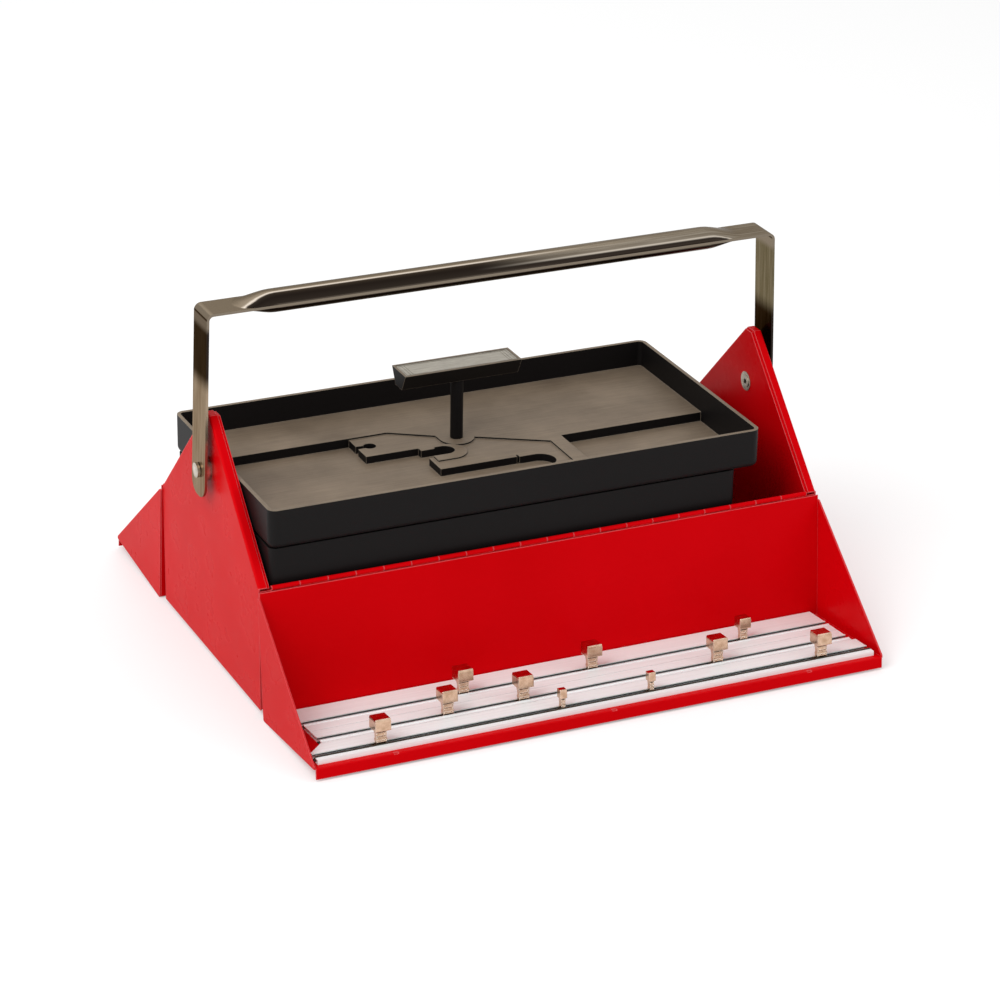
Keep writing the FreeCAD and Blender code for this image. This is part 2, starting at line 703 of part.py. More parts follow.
def make_clip(name, row, share, head_sizes):
    """Folded square head on a narrow neck whose wide foot runs inside the rail."""
    width, height, neck = head_sizes
    x = "(%s) * long_rail_half" % share
    y = row_y(row)
    base = "rail_top - rail_bead - clip_running_gap - %s" % neck
    half = "(%s) / 2" % width
    x_low, x_high = "%s - %s" % (x, half), "%s + %s" % (x, half)
    y_low, y_high = "%s - %s" % (y, half), "%s + %s" % (y, half)
    head = box(name + "_head", x_low, x_high, y_low, y_high, "%s - (%s)" % (base, height), base)
    rounded = doc.addObject("Part::Fillet", name + "_rounded")
    rounded.Base = head
    doc.recompute()
    radius = size("clip_metal")
    edges = []
    for index, edge in enumerate(head.Shape.Edges, start=1):
        middle = edge.valueAt((edge.FirstParameter + edge.LastParameter) / 2)
        if middle.z < size(base) - size("clip_metal"):
            edges.append((index, radius, radius))
    rounded.Edges = edges
    hollow = box(name + "_hollow", "%s + clip_metal" % x_low, "%s - clip_metal" % x_high,
                 "%s + clip_metal" % y_low, "%s - clip_metal" % y_high,
                 "%s - (%s) + clip_metal" % (base, height), "%s + overrun" % base)
    shell = cut(name + "_shell", rounded, hollow)
    stem_half = "clip_stem / 2"
    stem = box(name + "_stem", "%s - %s + clip_metal" % (x, half), "%s + %s - clip_metal" % (x, half),
               "%s - %s" % (y, stem_half), "%s + %s" % (y, stem_half),
               "%s - (%s) + clip_metal" % (base, height), "rail_inside_top + clip_running_gap")
    foot = box(name + "_foot", "%s - %s + clip_metal" % (x, half), "%s + %s - clip_metal" % (x, half),
               "%s - clip_foot_width / 2" % y, "%s + clip_foot_width / 2" % y,
               "rail_inside_top + clip_running_gap",
               "rail_inside_top + clip_running_gap + clip_foot_height")
    return node(in_lid(fused(name, [shell, stem, foot])), name)


def make_clips():
    back_heads = (LARGE_HEAD, LARGE_HEAD, MEDIUM_HEAD)
    middle_heads = (LARGE_HEAD, LARGE_HEAD, LARGE_HEAD)
    front_heads = (LARGE_HEAD, SMALL_HEAD, SMALL_HEAD, LARGE_HEAD)
    rows = (
        ("back_clip_%d", 0, BACK_CLIP_SHARES, back_heads),
        ("middle_clip_%d", 1, MIDDLE_CLIP_SHARES, middle_heads),
        ("front_clip_%d", 2, FRONT_CLIP_SHARES, front_heads),
    )
    for pattern, row, shares, heads in rows:
        for count, (share, head) in enumerate(zip(shares, heads), start=1):
            make_clip(pattern % count, row, share, head)


def make_handle():
    """Bail of flat strip with a rolled oval grip across the top."""
    body = new_body("bail_strip")
    low = "pivot_z - handle_tail"
    drop = "handle_inset * handle_tail / handle_reach"
    out_low = "handle_outer + %s" % drop
    out_top = "bail_top_outer"
    points = [
        (out_low, low), (out_top, "bail_top"), ("-" + out_top, "bail_top"), ("-(%s)" % out_low, low),
        ("-(%s - handle_strip)" % out_low, low),
        ("-(%s - handle_strip)" % out_top, "bail_top - handle_strip"),
        ("%s - handle_strip" % out_top, "bail_top - handle_strip"),
        ("%s - handle_strip" % out_low, low),
    ]
    pad(body, "XZ_Plane", points, "handle_width", symmetric=True)
    round_edges(body, "handle_corner_radius", lambda edge, middle: near(middle.y, "0")
                and near(middle.z, "bail_top"))
    round_edges(body, "handle_corner_radius - handle_strip", lambda edge, middle: near(middle.y, "0")
                and near(middle.z, "bail_top - handle_strip"))
    hole = [("0", "pivot_z", "rivet_radius + rivet_hole_clearance")]
    round_pocket(body, "YZ_Plane", hole, "3 * handle_outer", symmetric=True)
    round_edges(body, "handle_width / 2 - handle_end_flat", lambda edge, middle: near(middle.z, low)
                and near(abs(middle.y), "handle_width / 2"))
    return body


def oval_wire(x, width, low, high):
    """Oval section of the rolled grip, as a wire square to X."""
    edge = Part.Ellipse(FreeCAD.Vector(), width / 2, (high - low) / 2).toShape()
    edge.rotate(FreeCAD.Vector(), FreeCAD.Vector(0, 0, 1), 90)
    edge.rotate(FreeCAD.Vector(), FreeCAD.Vector(0, 1, 0), 90)
    edge.translate(FreeCAD.Vector(x, 0, (high + low) / 2))
    return Part.Wire([edge])


def make_grip_tube():
    """Rolled grip: an oval tube that narrows to the strip at both ends."""
    top = size("bail_top - handle_strip + grip_crown")
    thin = size("handle_strip")
    width = size("handle_width")
    height = size("grip_height")
    half = size("grip_half_length")
    lead = size("grip_lead")
    wall = size("grip_wall")
    strip_top = size("bail_top")
    bottom = top - height
    barrel = Part.makeLoft([oval_wire(x, width, bottom, top) for x in (-half, half)], True, False)
    for side in (-1, 1):
        ovals = []
        for share in GRIP_LEAD_SHARES:
            grow = 1 - share * share * (3 - 2 * share)
            high = strip_top + (top - strip_top) * grow
            low = strip_top - thin + (bottom - strip_top + thin) * grow
            ovals.append(oval_wire(side * (half + lead * share), width, low, high))
        barrel = barrel.fuse(Part.makeLoft(ovals, True, False))
    bore = Part.makeLoft([oval_wire(x, width - 2 * wall, bottom + wall, top - wall)
                          for x in (-half, half)], True, False)
    grip = doc.addObject("Part::Feature", "grip_tube")
    grip.Shape = barrel.cut(bore)
    return grip


def make_bail():
    strip = make_handle()
    doc.recompute()
    whole = fused("handle_bail", [strip, make_grip_tube()])
    return node(whole, "handle_bail")


def ring(name, radius, thickness, inner_end):
    """Flat ring round the pivot, from its end nearest the middle of the box outwards."""
    disc = cylinder(name + "_disc", radius, thickness, "-(%s) - (%s)" % (inner_end, thickness), "0",
                    "pivot_z", along_x=True)
    hole = cylinder(name + "_hole", "rivet_radius + rivet_hole_clearance", "(%s) + 2 * overrun" % thickness,
                    "-(%s) - (%s) - overrun" % (inner_end, thickness), "0", "pivot_z", along_x=True)
    return node(cut(name, disc, hole), name)


def make_pivots():
    """Rivet, spacer and inner washer of the left pivot, and their mirrored twins."""
    spacer = ring("left_pivot_spacer", "spacer_radius", "spacer_thickness", "half_length")
    washer = ring("left_pivot_washer", "washer_radius", "washer_thickness", "liner_face - washer_thickness")
    head_in = "handle_outer + handle_play + arm_lean * rivet_head_radius"
    tail_out = "liner_face - washer_thickness"
    shank = cylinder("left_rivet_shank", "rivet_radius", "%s - (%s)" % (head_in, tail_out),
                     "-(%s)" % head_in, "0", "pivot_z", along_x=True)
    head = cylinder("left_rivet_head", "rivet_head_radius", "rivet_head_height",
                    "-(%s + rivet_head_height)" % head_in, "0", "pivot_z", along_x=True)
    tail = cylinder("left_rivet_tail", "rivet_tail_radius", "rivet_tail_height",
                    "-(%s)" % tail_out, "0", "pivot_z", along_x=True)
    solid = fused("left_rivet_solid", [shank, head, tail])
    bore_hole = cylinder("left_rivet_bore", "rivet_bore", "liner_flange",
                         "-(%s) + rivet_tail_height + overrun - liner_flange" % tail_out, "0", "pivot_z",
                         along_x=True)
    rivet = node(cut("left_pivot_rivet", solid, bore_hole), "left_pivot_rivet")
    for source, name in ((spacer, "right_pivot_spacer"), (washer, "right_pivot_washer"),
                         (rivet, "right_pivot_rivet")):
        mirrored(source, name, (1, 0, 0))


def make_bin():
    """Open-topped lower bin that stands on the body floor and carries the tray."""
    body = new_body("bottom_bin")
    outside = rectangle("-bin_left", "bin_right", "-bin_half_depth", "bin_half_depth")
    pad(body, "XY_Plane", outside, "bin_height", offset="bin_base")
    round_edges(body, "bin_corner_radius", lambda edge, middle: near(
        middle.z, "bin_base + bin_height / 2"))
    round_edges(body, "bin_bottom_radius", lambda edge, middle: near(middle.z, "bin_base"))
    inside = rectangle("-(bin_left - bin_wall)", "bin_right - bin_wall",
                       "-(bin_half_depth - bin_wall)", "bin_half_depth - bin_wall")
    pocket(body, "XY_Plane", inside, "bin_height", offset="bin_base + bin_wall", backwards=True)
    round_edges(body, "bin_corner_radius - bin_wall", lambda edge, middle: near(
        middle.z, "bin_base + (bin_height + bin_wall) / 2"))
    return node(body, "bottom_bin")


def tray_place(shares):
    """Place in the tray from its two shares."""
    across, along = shares
    return "tray_middle + (%s) * tray_half_span" % across, "(%s) * tray_half_depth" % along


def make_tray():
    """Lift-out tray: a raised rear shelf with a ridge to the front, and a slotted plateau."""
    body = new_body("tray")
    pad(body, "XY_Plane", rectangle("-tray_left", "tray_right", "-tray_half_depth", "tray_half_depth"),
        "tray_height", offset="tray_base")
    round_edges(body, "tray_corner_radius", lambda edge, middle: near(
        middle.z, "tray_base + tray_height / 2"))
    round_edges(body, "tray_bottom_radius", lambda edge, middle: near(middle.z, "tray_base"))
    inside = rectangle("-(tray_left - tray_wall)", "tray_right - tray_wall",
                       "-(tray_half_depth - tray_wall)", "tray_half_depth - tray_wall")
    pocket(body, "XY_Plane", inside, "tray_height", offset="tray_base + tray_floor", backwards=True)
    round_edges(body, "tray_corner_radius - tray_wall", lambda edge, middle: near(
        middle.z, "tray_base + (tray_height + tray_floor) / 2"))
    left = "-(tray_left - tray_wall + tray_lap)"
    right = "tray_right - tray_wall + tray_lap"
    rear = "tray_half_depth - tray_wall + tray_lap"
    front = "-(%s)" % rear
    lower = "tray_base + tray_floor / 2"
    ridge_left, ridge_rear = tray_place((RIDGE_SHARES[0], RIDGE_REAR_SHARE))
    ridge_right, shelf_right = tray_place((RIDGE_SHARES[1], SHELF_RIGHT_SHARE))
    shelf_left = tray_place((0, SHELF_LEFT_SHARE))[1]
    shelf = [
        (left, rear), (left, shelf_left), tray_place(SHELF_BEND_SHARES), tray_place(SHELF_NECK_SHARES),
        ("-post_x - tongue_radius", "post_y"), ("-post_x + tongue_radius", "post_y - tongue_radius / 3"),
        (ridge_left, ridge_rear), (ridge_left, front), (ridge_right, front), (ridge_right, shelf_right),
        (right, shelf_right), (right, rear),
    ]
    pad(body, "XY_Plane", shelf, "shelf_height - tray_floor / 2", offset=lower)
    round_pad(body, "XY_Plane", [("-post_x", "post_y", "tongue_radius")],
              "shelf_height - tray_floor / 2", offset=lower)
    tab_left, tab_front = tray_place(TAB_SHARES)
    step_left, step_front = tray_place(STEP_SHARES)
    plateau_end = tray_place((PLATEAU_END_SHARE, 0))[0]
    plateau_right = "%s + overrun" % ridge_left
    plateau_rear = "%s + overrun" % shelf_left
    plateau = [
        (tab_left, plateau_rear), (tab_left, tab_front), (step_left, tab_front), (step_left, step_front),
        (plateau_end, step_front), (plateau_end, front), (plateau_right, front),
        (plateau_right, plateau_rear),
    ]
    pad(body, "XY_Plane", plateau, "plateau_height - tray_floor / 2", offset=lower)
    return body


def make_collar(body):
    """Low raised collar round the middle slot's inner end and its front edge."""
    collar_x, collar_y = tray_place(COLLAR_SHARES)
    collar_left = tray_place((COLLAR_LEFT_SHARE, 0))[0]
    height = "plateau_height + collar_height - tray_floor / 2"
    lower = "tray_base + tray_floor / 2"
    round_pad(body, "XY_Plane", [(collar_x, collar_y, "collar_radius")], height, offset=lower)
    band = rectangle(collar_left, collar_x, "%s - collar_radius" % collar_y, collar_y)
    pad(body, "XY_Plane", band, height, offset=lower)


def cut_slot(body, mouth_share, end_shares, radius, end_radius):
    """Slot in the plateau, open to the left and round at its right end."""
    mouth = "%s - overrun" % tray_place((mouth_share, 0))[0]
    end_x, end_y = tray_place(end_shares)
    level = "tray_base + tray_floor"
    straight = rectangle(mouth, end_x, "%s - %s" % (end_y, radius), "%s + %s" % (end_y, radius))
    pocket(body, "XY_Plane", straight, "shelf_height", offset=level, backwards=True)
    round_pocket(body, "XY_Plane", [(end_x, end_y, end_radius)], "shelf_height", offset=level,
                 backwards=True)


def finish_tray(body):
    """Cuts the plateau's slots, the hollows under the raised areas and the screw's hole."""
    cut_slot(body, TAB_SHARES[0], SMALL_SLOT_SHARES, "small_slot_radius", "small_slot_end")
    cut_slot(body, STEP_SHARES[0], MIDDLE_SLOT_SHARES, "middle_slot_radius", "middle_slot_radius")
    cut_slot(body, PLATEAU_END_SHARE, LARGE_SLOT_SHARES, "large_slot_radius", "large_slot_radius")
    nick_x, nick_y = tray_place((PLATEAU_END_SHARE, STEP_SHARES[1]))
    nick = rectangle("%s - nick_width" % nick_x, nick_x, "%s - overrun" % nick_y, "%s + nick_depth" % nick_y)
    pocket(body, "XY_Plane", nick, "shelf_height", offset="tray_base + tray_floor", backwards=True)
    depth = "shelf_height - tray_skin"
    shelf_left = tray_place((0, SHELF_LEFT_SHARE))[1]
    ridge_right, shelf_right = tray_place((RIDGE_SHARES[1], SHELF_RIGHT_SHARE))
    rear_low = "%s + 2 * tray_wall" % shelf_left
    rear_high = "tray_half_depth - 3 * tray_wall"
    hollows = (
        ("-(tray_left - 3 * tray_wall)", "-post_x - tongue_radius", rear_low, rear_high),
        ("-post_x + tongue_radius", "tray_right - 3 * tray_wall", rear_low, rear_high),
        ("%s + 2 * tray_wall" % ridge_right, "tray_right - 3 * tray_wall",
         "%s + 2 * tray_wall" % shelf_right, "%s - tray_wall" % rear_low),
    )
    for x_low, x_high, y_low, y_high in hollows:
        pocket(body, "XY_Plane", rectangle(x_low, x_high, y_low, y_high), depth, offset="tray_base",
               backwards=True)
    hole = [("-post_x", "post_y", "screw_radius")]
    round_pocket(body, "XY_Plane", hole, "3 * shelf_height", offset="tray_base", symmetric=True)
    head = [("-post_x", "post_y", "screw_head_radius + tray_seat_gap")]
    round_pocket(body, "XY_Plane", head, "screw_head_height", offset="tray_base", backwards=True)
    return node(body, "tray")


def make_tray_grip():
    """Round post and a wide-topped cross bar, with a recess for the plate on top."""
    body = new_body("tray_grip")
    round_pad(body, "XY_Plane", [("-post_x", "post_y", "post_radius")],
              "bar_base + bar_height / 2 - shelf_z", offset="shelf_z")
    section = [
        ("post_y - bar_base_width / 2", "bar_base"), ("post_y + bar_base_width / 2", "bar_base"),
        ("post_y + bar_width / 2", "bar_top"), ("post_y - bar_width / 2", "bar_top"),
    ]
    pad(body, "YZ_Plane", section, "bar_length", offset="-post_x - bar_length / 2")
    half_x = "bar_length / 2 - plate_margin"
    half_y = "bar_width / 2 - plate_margin"
    recess = rectangle("-post_x - (%s)" % half_x, "-post_x + (%s)" % half_x,
                       "post_y - (%s)" % half_y, "post_y + (%s)" % half_y)
    pocket(body, "XY_Plane", recess, "plate_recess + overrun", offset="bar_top - plate_recess",
           backwards=True)
    round_pocket(body, "XY_Plane", [("-post_x", "post_y", "screw_radius")],
                 "screw_length", offset="shelf_z", backwards=True)
    node(body, "tray_grip")
    plate = box("tray_grip_plate", recess[0][0], recess[1][0], recess[0][1], recess[2][1],
                "bar_top - plate_recess", "bar_top - plate_recess / 2")
    node(plate, "tray_grip_plate")
    head_top = "tray_base + screw_head_height"
    shank = cylinder("grip_screw_shank", "screw_radius", "screw_length", "-post_x", "post_y", head_top)
    head = cylinder("grip_screw_head", "screw_head_radius", "screw_head_height - tray_seat_gap",
                    "-post_x", "post_y", "tray_base + tray_seat_gap")
    node(fused("tray_grip_screw", [shank, head]), "tray_grip_screw")


def make_feet():
    """Four rubber feet, each held by a flat rivet through the floor."""
    feet = []
    rivets = []
    for count, (x, y) in enumerate(foot_places(), start=1):
        tag = "foot_%d" % count
        disc = doc.addObject("Part::Cone", tag + "_disc")
        bind(disc, Radius1="foot_radius - foot_height / 2", Radius2="foot_radius", Height="foot_height")
        bind(disc, Placement__Base__x=x, Placement__Base__y=y)
        recess = cylinder(tag + "_recess", "foot_rivet_head", "foot_height - foot_rivet_head_height",
                          x, y, "0")
        hole = cylinder(tag + "_hole", "foot_rivet_radius", "2 * foot_height", x, y, "0")
        feet.append(cut(tag, disc, fused(tag + "_cutter", [recess, hole])))
        shank = cylinder(tag + "_rivet_shank", "foot_rivet_radius", "foot_rivet_head_height * 3 / 2 + sheet",
                         x, y, "foot_height - foot_rivet_head_height")
        low = cylinder(tag + "_rivet_low", "foot_rivet_head", "foot_rivet_head_height",
                       x, y, "foot_height - 2 * foot_rivet_head_height")
        high = cylinder(tag + "_rivet_high", "foot_rivet_head", "foot_rivet_head_height / 2",
                        x, y, "floor_top")
        rivets.append(fused(tag + "_rivet", [shank, low, high]))
    node(grouped("rubber_feet", feet), "rubber_feet")
    node(grouped("foot_rivets", rivets), "foot_rivets")


def build():
    make_tub()
    mirrored(make_end_plate(), "right_end_plate", (1, 0, 0))
    mirrored(make_gable_liner(), "right_gable_liner", (1, 0, 0))
    make_hinges()
    make_lid_panel()
    make_rear_lid_panel()
    left_end = make_lid_end()
    right_end = mirrored(left_end, "front_lid_right_end", (1, 0, 0))
    mirrored(left_end, "rear_lid_left_end", (0, 1, 0))
    mirrored(right_end, "rear_lid_right_end", (0, 1, 0))
    make_rails()
    make_rail_rivets()
    make_clips()
    make_bail()
    make_pivots()
    make_bin()
    tray = make_tray()
    make_collar(tray)
    finish_tray(tray)
    make_tray_grip()
    make_feet()
    doc.recompute()


def check():
    """Stops with a plain message if anything failed to build."""
    for thing in doc.Objects:
        bad = [state for state in thing.State if state in ("Invalid", "Error")]
        if bad:
            raise RuntimeError("%s is %s" % (thing.Name, bad[0]))
    for thing in sub_parts:
        shape = thing.Shape
        if shape.isNull() or not shape.isValid() or not shape.Solids:
            raise RuntimeError("%s has no valid solid" % thing.Label)
        print("%-26s solids %2d volume %10.1f" % (thing.Label, len(shape.Solids), shape.Volume))


def write():
    os.makedirs("parts", exist_ok=True)
    for thing in sub_parts:
        thing.Shape.exportStep(os.path.join("parts", thing.Label + ".step"))


build()
check()
write()
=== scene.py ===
import json
import math

import bmesh
import bpy
from mathutils import Matrix, Vector


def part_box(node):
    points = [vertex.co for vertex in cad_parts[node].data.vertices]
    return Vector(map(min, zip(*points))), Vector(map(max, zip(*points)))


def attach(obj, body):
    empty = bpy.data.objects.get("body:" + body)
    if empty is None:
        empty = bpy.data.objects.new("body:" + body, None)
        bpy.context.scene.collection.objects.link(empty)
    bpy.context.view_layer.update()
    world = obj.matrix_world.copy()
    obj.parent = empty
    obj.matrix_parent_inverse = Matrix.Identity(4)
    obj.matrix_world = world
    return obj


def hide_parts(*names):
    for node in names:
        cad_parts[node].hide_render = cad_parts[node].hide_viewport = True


MM = 0.001

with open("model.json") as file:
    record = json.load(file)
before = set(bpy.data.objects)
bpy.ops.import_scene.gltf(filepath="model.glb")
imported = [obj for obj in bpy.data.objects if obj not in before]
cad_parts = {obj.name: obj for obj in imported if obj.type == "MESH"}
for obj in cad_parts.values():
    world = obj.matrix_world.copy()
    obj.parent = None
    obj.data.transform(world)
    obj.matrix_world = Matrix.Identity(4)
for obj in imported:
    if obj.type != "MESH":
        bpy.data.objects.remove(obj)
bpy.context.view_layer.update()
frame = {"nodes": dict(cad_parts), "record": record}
record = frame["record"]
nodes = frame["nodes"]

# Camera, from the straight edges of the box in the photograph
CAMERA_AZIMUTH = -24.497
CAMERA_ELEVATION = 24.398
CAMERA_ROLL = 0.863
CAMERA_DISTANCE = 2578.4 * MM
CAMERA_TARGET = Vector((0, 0, 63.3 * MM))
CAMERA_AIM_RIGHT = 7.448 * MM
CAMERA_AIM_UP = 18.186 * MM
FOCAL_PIXELS = 3656.0
FRAME_PIXELS = 1000.0
SENSOR_WIDTH = 36.0

# The open front lid: its hinge, how far it has swung, and the rails and clips in it. The two
# directions are the closed lid's up and away from its hinge, as they lie once it is open.
LID_HINGE = Vector((0, -94.6, 92.7)) * MM
LID_SWING = math.radians(175)
LID_UP = Vector((0, -math.sin(LID_SWING), math.cos(LID_SWING)))
LID_OUT = Vector((0, math.cos(LID_SWING), math.sin(LID_SWING)))
LID_UP_OFFSET = -LID_UP.dot(LID_HINGE)
LID_OUT_OFFSET = -LID_OUT.dot(LID_HINGE)
LID_DEPTH = 93.4 * MM
RAIL_TOP = 88.4 * MM
SLOT_REACH = 2.6 * MM
FRONT_RIM = 3.3 * MM
RAIL_BEAD = 0.6 * MM
RAIL_CEILING = RAIL_TOP + 0.8 * MM
SLOT_PLACES = {"back": 27.127 * MM, "middle": 56.124 * MM, "front": 80.374 * MM}

# Depths below the rails' top between which the painted shade in the slots sets in
SLOT_SHADE_DEPTHS = (0.1 * MM, 0.4 * MM)

# Painted sheen and dust lie on the tray's up-facing faces above this level, and not on the covered bin.
SHEEN_AND_DUST_LEVEL = 118.4 * MM
SHEEN_AND_DUST_FADE = 1.0 * MM
DUST_STREAK_SHARE = 0.45

# Socket clips: sheet and stem, heights of head and neck by size, and the clips that aren't large.
# A leg's shape is pairs of half width and drop, as shares of the head's inside and of the neck.
CLIP_METAL = 0.7 * MM
CLIP_STEM = 3.6 * MM
CLIP_FOOT = 10.0 * MM
CLIP_HEAD_HEIGHTS = {"large": 8.6 * MM, "medium": 7.6 * MM, "small": 6.4 * MM}
CLIP_NECK_HEIGHTS = {"large": 9.5 * MM, "medium": 8.6 * MM, "small": 6.4 * MM}
LEG_SHAPE = ((0.84, -0.45), (0.84, 0.0), (0.78, 0.15), (0.70, 0.32), (0.68, 0.52), (0.76, 0.66),
             (0.70, 0.82), (0.70, 1.0))
LEG_WAIST = 0.68
RIB_SHARES = (0.22, 0.50, 0.78)
RIB_HALF = 0.5 * MM
OTHER_CLIPS = {"back_clip_3": "medium", "front_clip_2": "small", "front_clip_3": "small"}
CLIP_SEAT = 0.2 * MM
CLIP_FOOT_HEIGHT = 1.2 * MM
CLIP_ROUNDING = 0.45 * MM
CAP_TAPER = 0.95
CAP_TAPER_HEIGHT = 0.3

# Pressed plate on the tray's grip
PLATE_RELIEF = 0.22 * MM
PLATE_SINK = 0.1 * MM
PLATE_RIM = 0.7 * MM
PLATE_INSET = 1.0 * MM
PLATE_BAR_STEPS = (2.6 * MM, 4.6 * MM)
PLATE_ROUNDING = 0.10 * MM

# Sockets of the Mix node for colours, and how alike two normals are on a flat face
MIX_COLOURS = (6, 7)
MIX_RESULT = 2
FLAT_LIKENESS = 0.998

ROUNDING_SEGMENTS = 3
ROUNDING_ANGLE = math.radians(35)

# Where the bail's painted reflections change: heights on each arm and below the grip, and places along
# the box
LEFT_ARM_CHANGE = (0.200, 0.214)
RIGHT_ARM_CHANGE = (0.194, 0.208)
GRIP_START = (0.243, 0.249)
ARM_CHANGE = (-0.05, 0.05)
GRIP_CHANGE = (-0.02, 0.08)

# Studio: strengths as the object and as the camera see them, and the lamps
WORLD_STRENGTH = 0.74
BACKDROP_STRENGTH = 1.0
FLOOR_HALF = 4.0
FLOOR_GREY = 0.86
FLOOR_SEEN_GREY = 0.74
FLOOR_GLOW = 0.30
VIEW_END = 20.0
LAMPS = (
    ("key", (-1.34, -0.58, 1.80), (0, 0, 0.08), (1.4, 1.3), 22.0),
    ("fill", (1.5, -1.2, 1.1), (0, 0, 0.08), (1.2, 1.2), 3.0),
    ("back", (0.2, 1.6, 1.6), (0, 0, 0.1), (1.6, 1.0), 4.0),
)


def new_material(name):
    """A material with its Principled shader, and a function that adds nodes to it."""
    material = bpy.data.materials.new(name)
    material.use_nodes = True
    tree = material.node_tree
    shader = tree.nodes["Principled BSDF"]

    def add(kind, **inputs):
        made = tree.nodes.new("ShaderNode" + kind)
        for key, value in inputs.items():
            socket = key.replace("_", " ")
            if socket in made.inputs:
                target = made.inputs[socket]
                if hasattr(value, "is_output"):
                    tree.links.new(value, target)
                else:
                    target.default_value = value
            else:
                setattr(made, key, value)
        return made

    return material, tree, shader, add


def set_shader(tree, shader, **inputs):
    for key, value in inputs.items():
        target = shader.inputs[key.replace("_", " ")]
        if hasattr(value, "is_output"):
            tree.links.new(value, target)
        else:
            target.default_value = value


def object_place(add, scale):
    """Coordinates fixed to the object, stretched by a scale."""
    place = add("TexCoord")
    return add("Mapping", Vector=place.outputs["Object"], Scale=scale).outputs["Vector"]


def ramp(add, value, stops, kind="LINEAR"):
    """A colour ramp over a value; stops are pairs of position and colour."""
    made = add("ValToRGB", Fac=value)
    made.color_ramp.interpolation = kind
    elements = made.color_ramp.elements
    while len(elements) < len(stops):
        elements.new(0.5)
    for element, (position, color) in zip(elements, stops):
        element.position = position
        element.color = (*color, 1.0)
    return made.outputs["Color"]


def bump(add, height, strength, distance, normal=None):
    made = add("Bump", Height=height, Strength=strength, Distance=distance)
    if normal is not None:
        made.id_data.links.new(normal, made.inputs["Normal"])
    return made.outputs["Normal"]


def noise(add, place, scale, detail=4.0, roughness=0.5):
    return add("TexNoise", Vector=place, Scale=scale, Detail=detail, Roughness=roughness).outputs["Fac"]


def mixed(add, factor, first, second):
    """Goes from the first colour to the second as the factor rises."""
    made = add("Mix", data_type="RGBA")
    made.id_data.links.new(factor, made.inputs[0])
    for index, value in zip(MIX_COLOURS, (first, second)):
        if hasattr(value, "is_output"):
            made.id_data.links.new(value, made.inputs[index])
        else:
            made.inputs[index].default_value = (*value, 1.0)
    return made.outputs[MIX_RESULT]


def spread(add, value, start, end, low=0.0, high=1.0, kind="LINEAR"):
    """Goes from low to high as the value goes from start to end."""
    made = add("MapRange", Value=value, interpolation_type=kind)
    made.inputs["From Min"].default_value = start
    made.inputs["From Max"].default_value = end
    made.inputs["To Min"].default_value = low
    made.inputs["To Max"].default_value = high
    return made.outputs["Result"]


def fade(add, value, start, end):
    """Rises smoothly from 0 to 1 as the value goes from start to end."""
    return spread(add, value, start, end, kind="SMOOTHSTEP")


def coordinates(add, kind):
    """The three numbers of the object's own coordinates, or of its own normal."""
    return add("SeparateXYZ", Vector=add("TexCoord").outputs[kind]).outputs


def across(add, direction, offset):
    """Distance along a direction from a plane, in the object's own coordinates."""
    place = add("TexCoord")
    turned = add("VectorMath", operation="DOT_PRODUCT")
    turned.id_data.links.new(place.outputs["Object"], turned.inputs[0])
    turned.inputs[1].default_value = direction
    moved = add("Math", operation="ADD")
    moved.id_data.links.new(turned.outputs["Value"], moved.inputs[0])
    moved.inputs[1].default_value = offset
    return moved.outputs["Value"]


def product(add, first, second):
    made = add("Math", operation="MULTIPLY")
    made.id_data.links.new(first, made.inputs[0])
    made.id_data.links.new(second, made.inputs[1])
    return made.outputs["Value"]


def flatness(add, radius, normal_of_edge):
    """1 on flat faces, falling to 0 at folds and cut edges; gives the softened normal too."""
    soft = add("Bevel", samples=6, Radius=radius)
    plain = add("NewGeometry")
    turned = add("VectorMath", operation="DOT_PRODUCT")
    turned.id_data.links.new(soft.outputs["Normal"], turned.inputs[0])
    turned.id_data.links.new(plain.outputs["Normal"], turned.inputs[1])
    return fade(add, turned.outputs["Value"], normal_of_edge, FLAT_LIKENESS), soft.outputs["Normal"]


def sees_backdrop(tree):
    """1 for rays from the camera, a mirror or glass, and 0 for light that falls on the object."""
    light_path = tree.nodes.new("ShaderNodeLightPath")
    total = light_path.outputs["Is Camera Ray"]
    for kind in ("Is Glossy Ray", "Is Transmission Ray"):
        larger = tree.nodes.new("ShaderNodeMath")
        larger.operation = "MAXIMUM"
        tree.links.new(total, larger.inputs[0])
        tree.links.new(light_path.outputs[kind], larger.inputs[1])
        total = larger.outputs["Value"]
    return total


def red_paint():
    """Gloss enamel on folded sheet: faint unevenness, thin edges painted light pink as highlights, and
    a slight orange peel.
    """
    material, tree, shader, add = new_material("red_paint")
    place = object_place(add, (1, 1, 1))
    broad = noise(add, place, 7.0, 3.0)
    paint = ramp(add, broad, [(0.30, (0.570, 0.0004, 0.0022)), (0.70, (0.650, 0.0008, 0.0038))])
    flat, soft_normal = flatness(add, 0.0007, 0.90)
    # painted highlight: folds and cut edges are made light pink
    colour = mixed(add, flat, (0.80, 0.16, 0.17), paint)
    peel = noise(add, place, 500.0, 2.0)
    scuff = noise(add, object_place(add, (1, 2, 2)), 22.0, 3.0, 0.5)
    rough = spread(add, scuff, 0.35, 0.70, 0.26, 0.32)
    set_shader(tree, shader, Base_Color=colour, Roughness=rough, IOR=1.14,
               Specular_IOR_Level=0.26, Specular_Tint=(1.0, 0.42, 0.42, 1.0),
               Normal=bump(add, peel, 0.02, 0.0003, soft_normal))
    return material


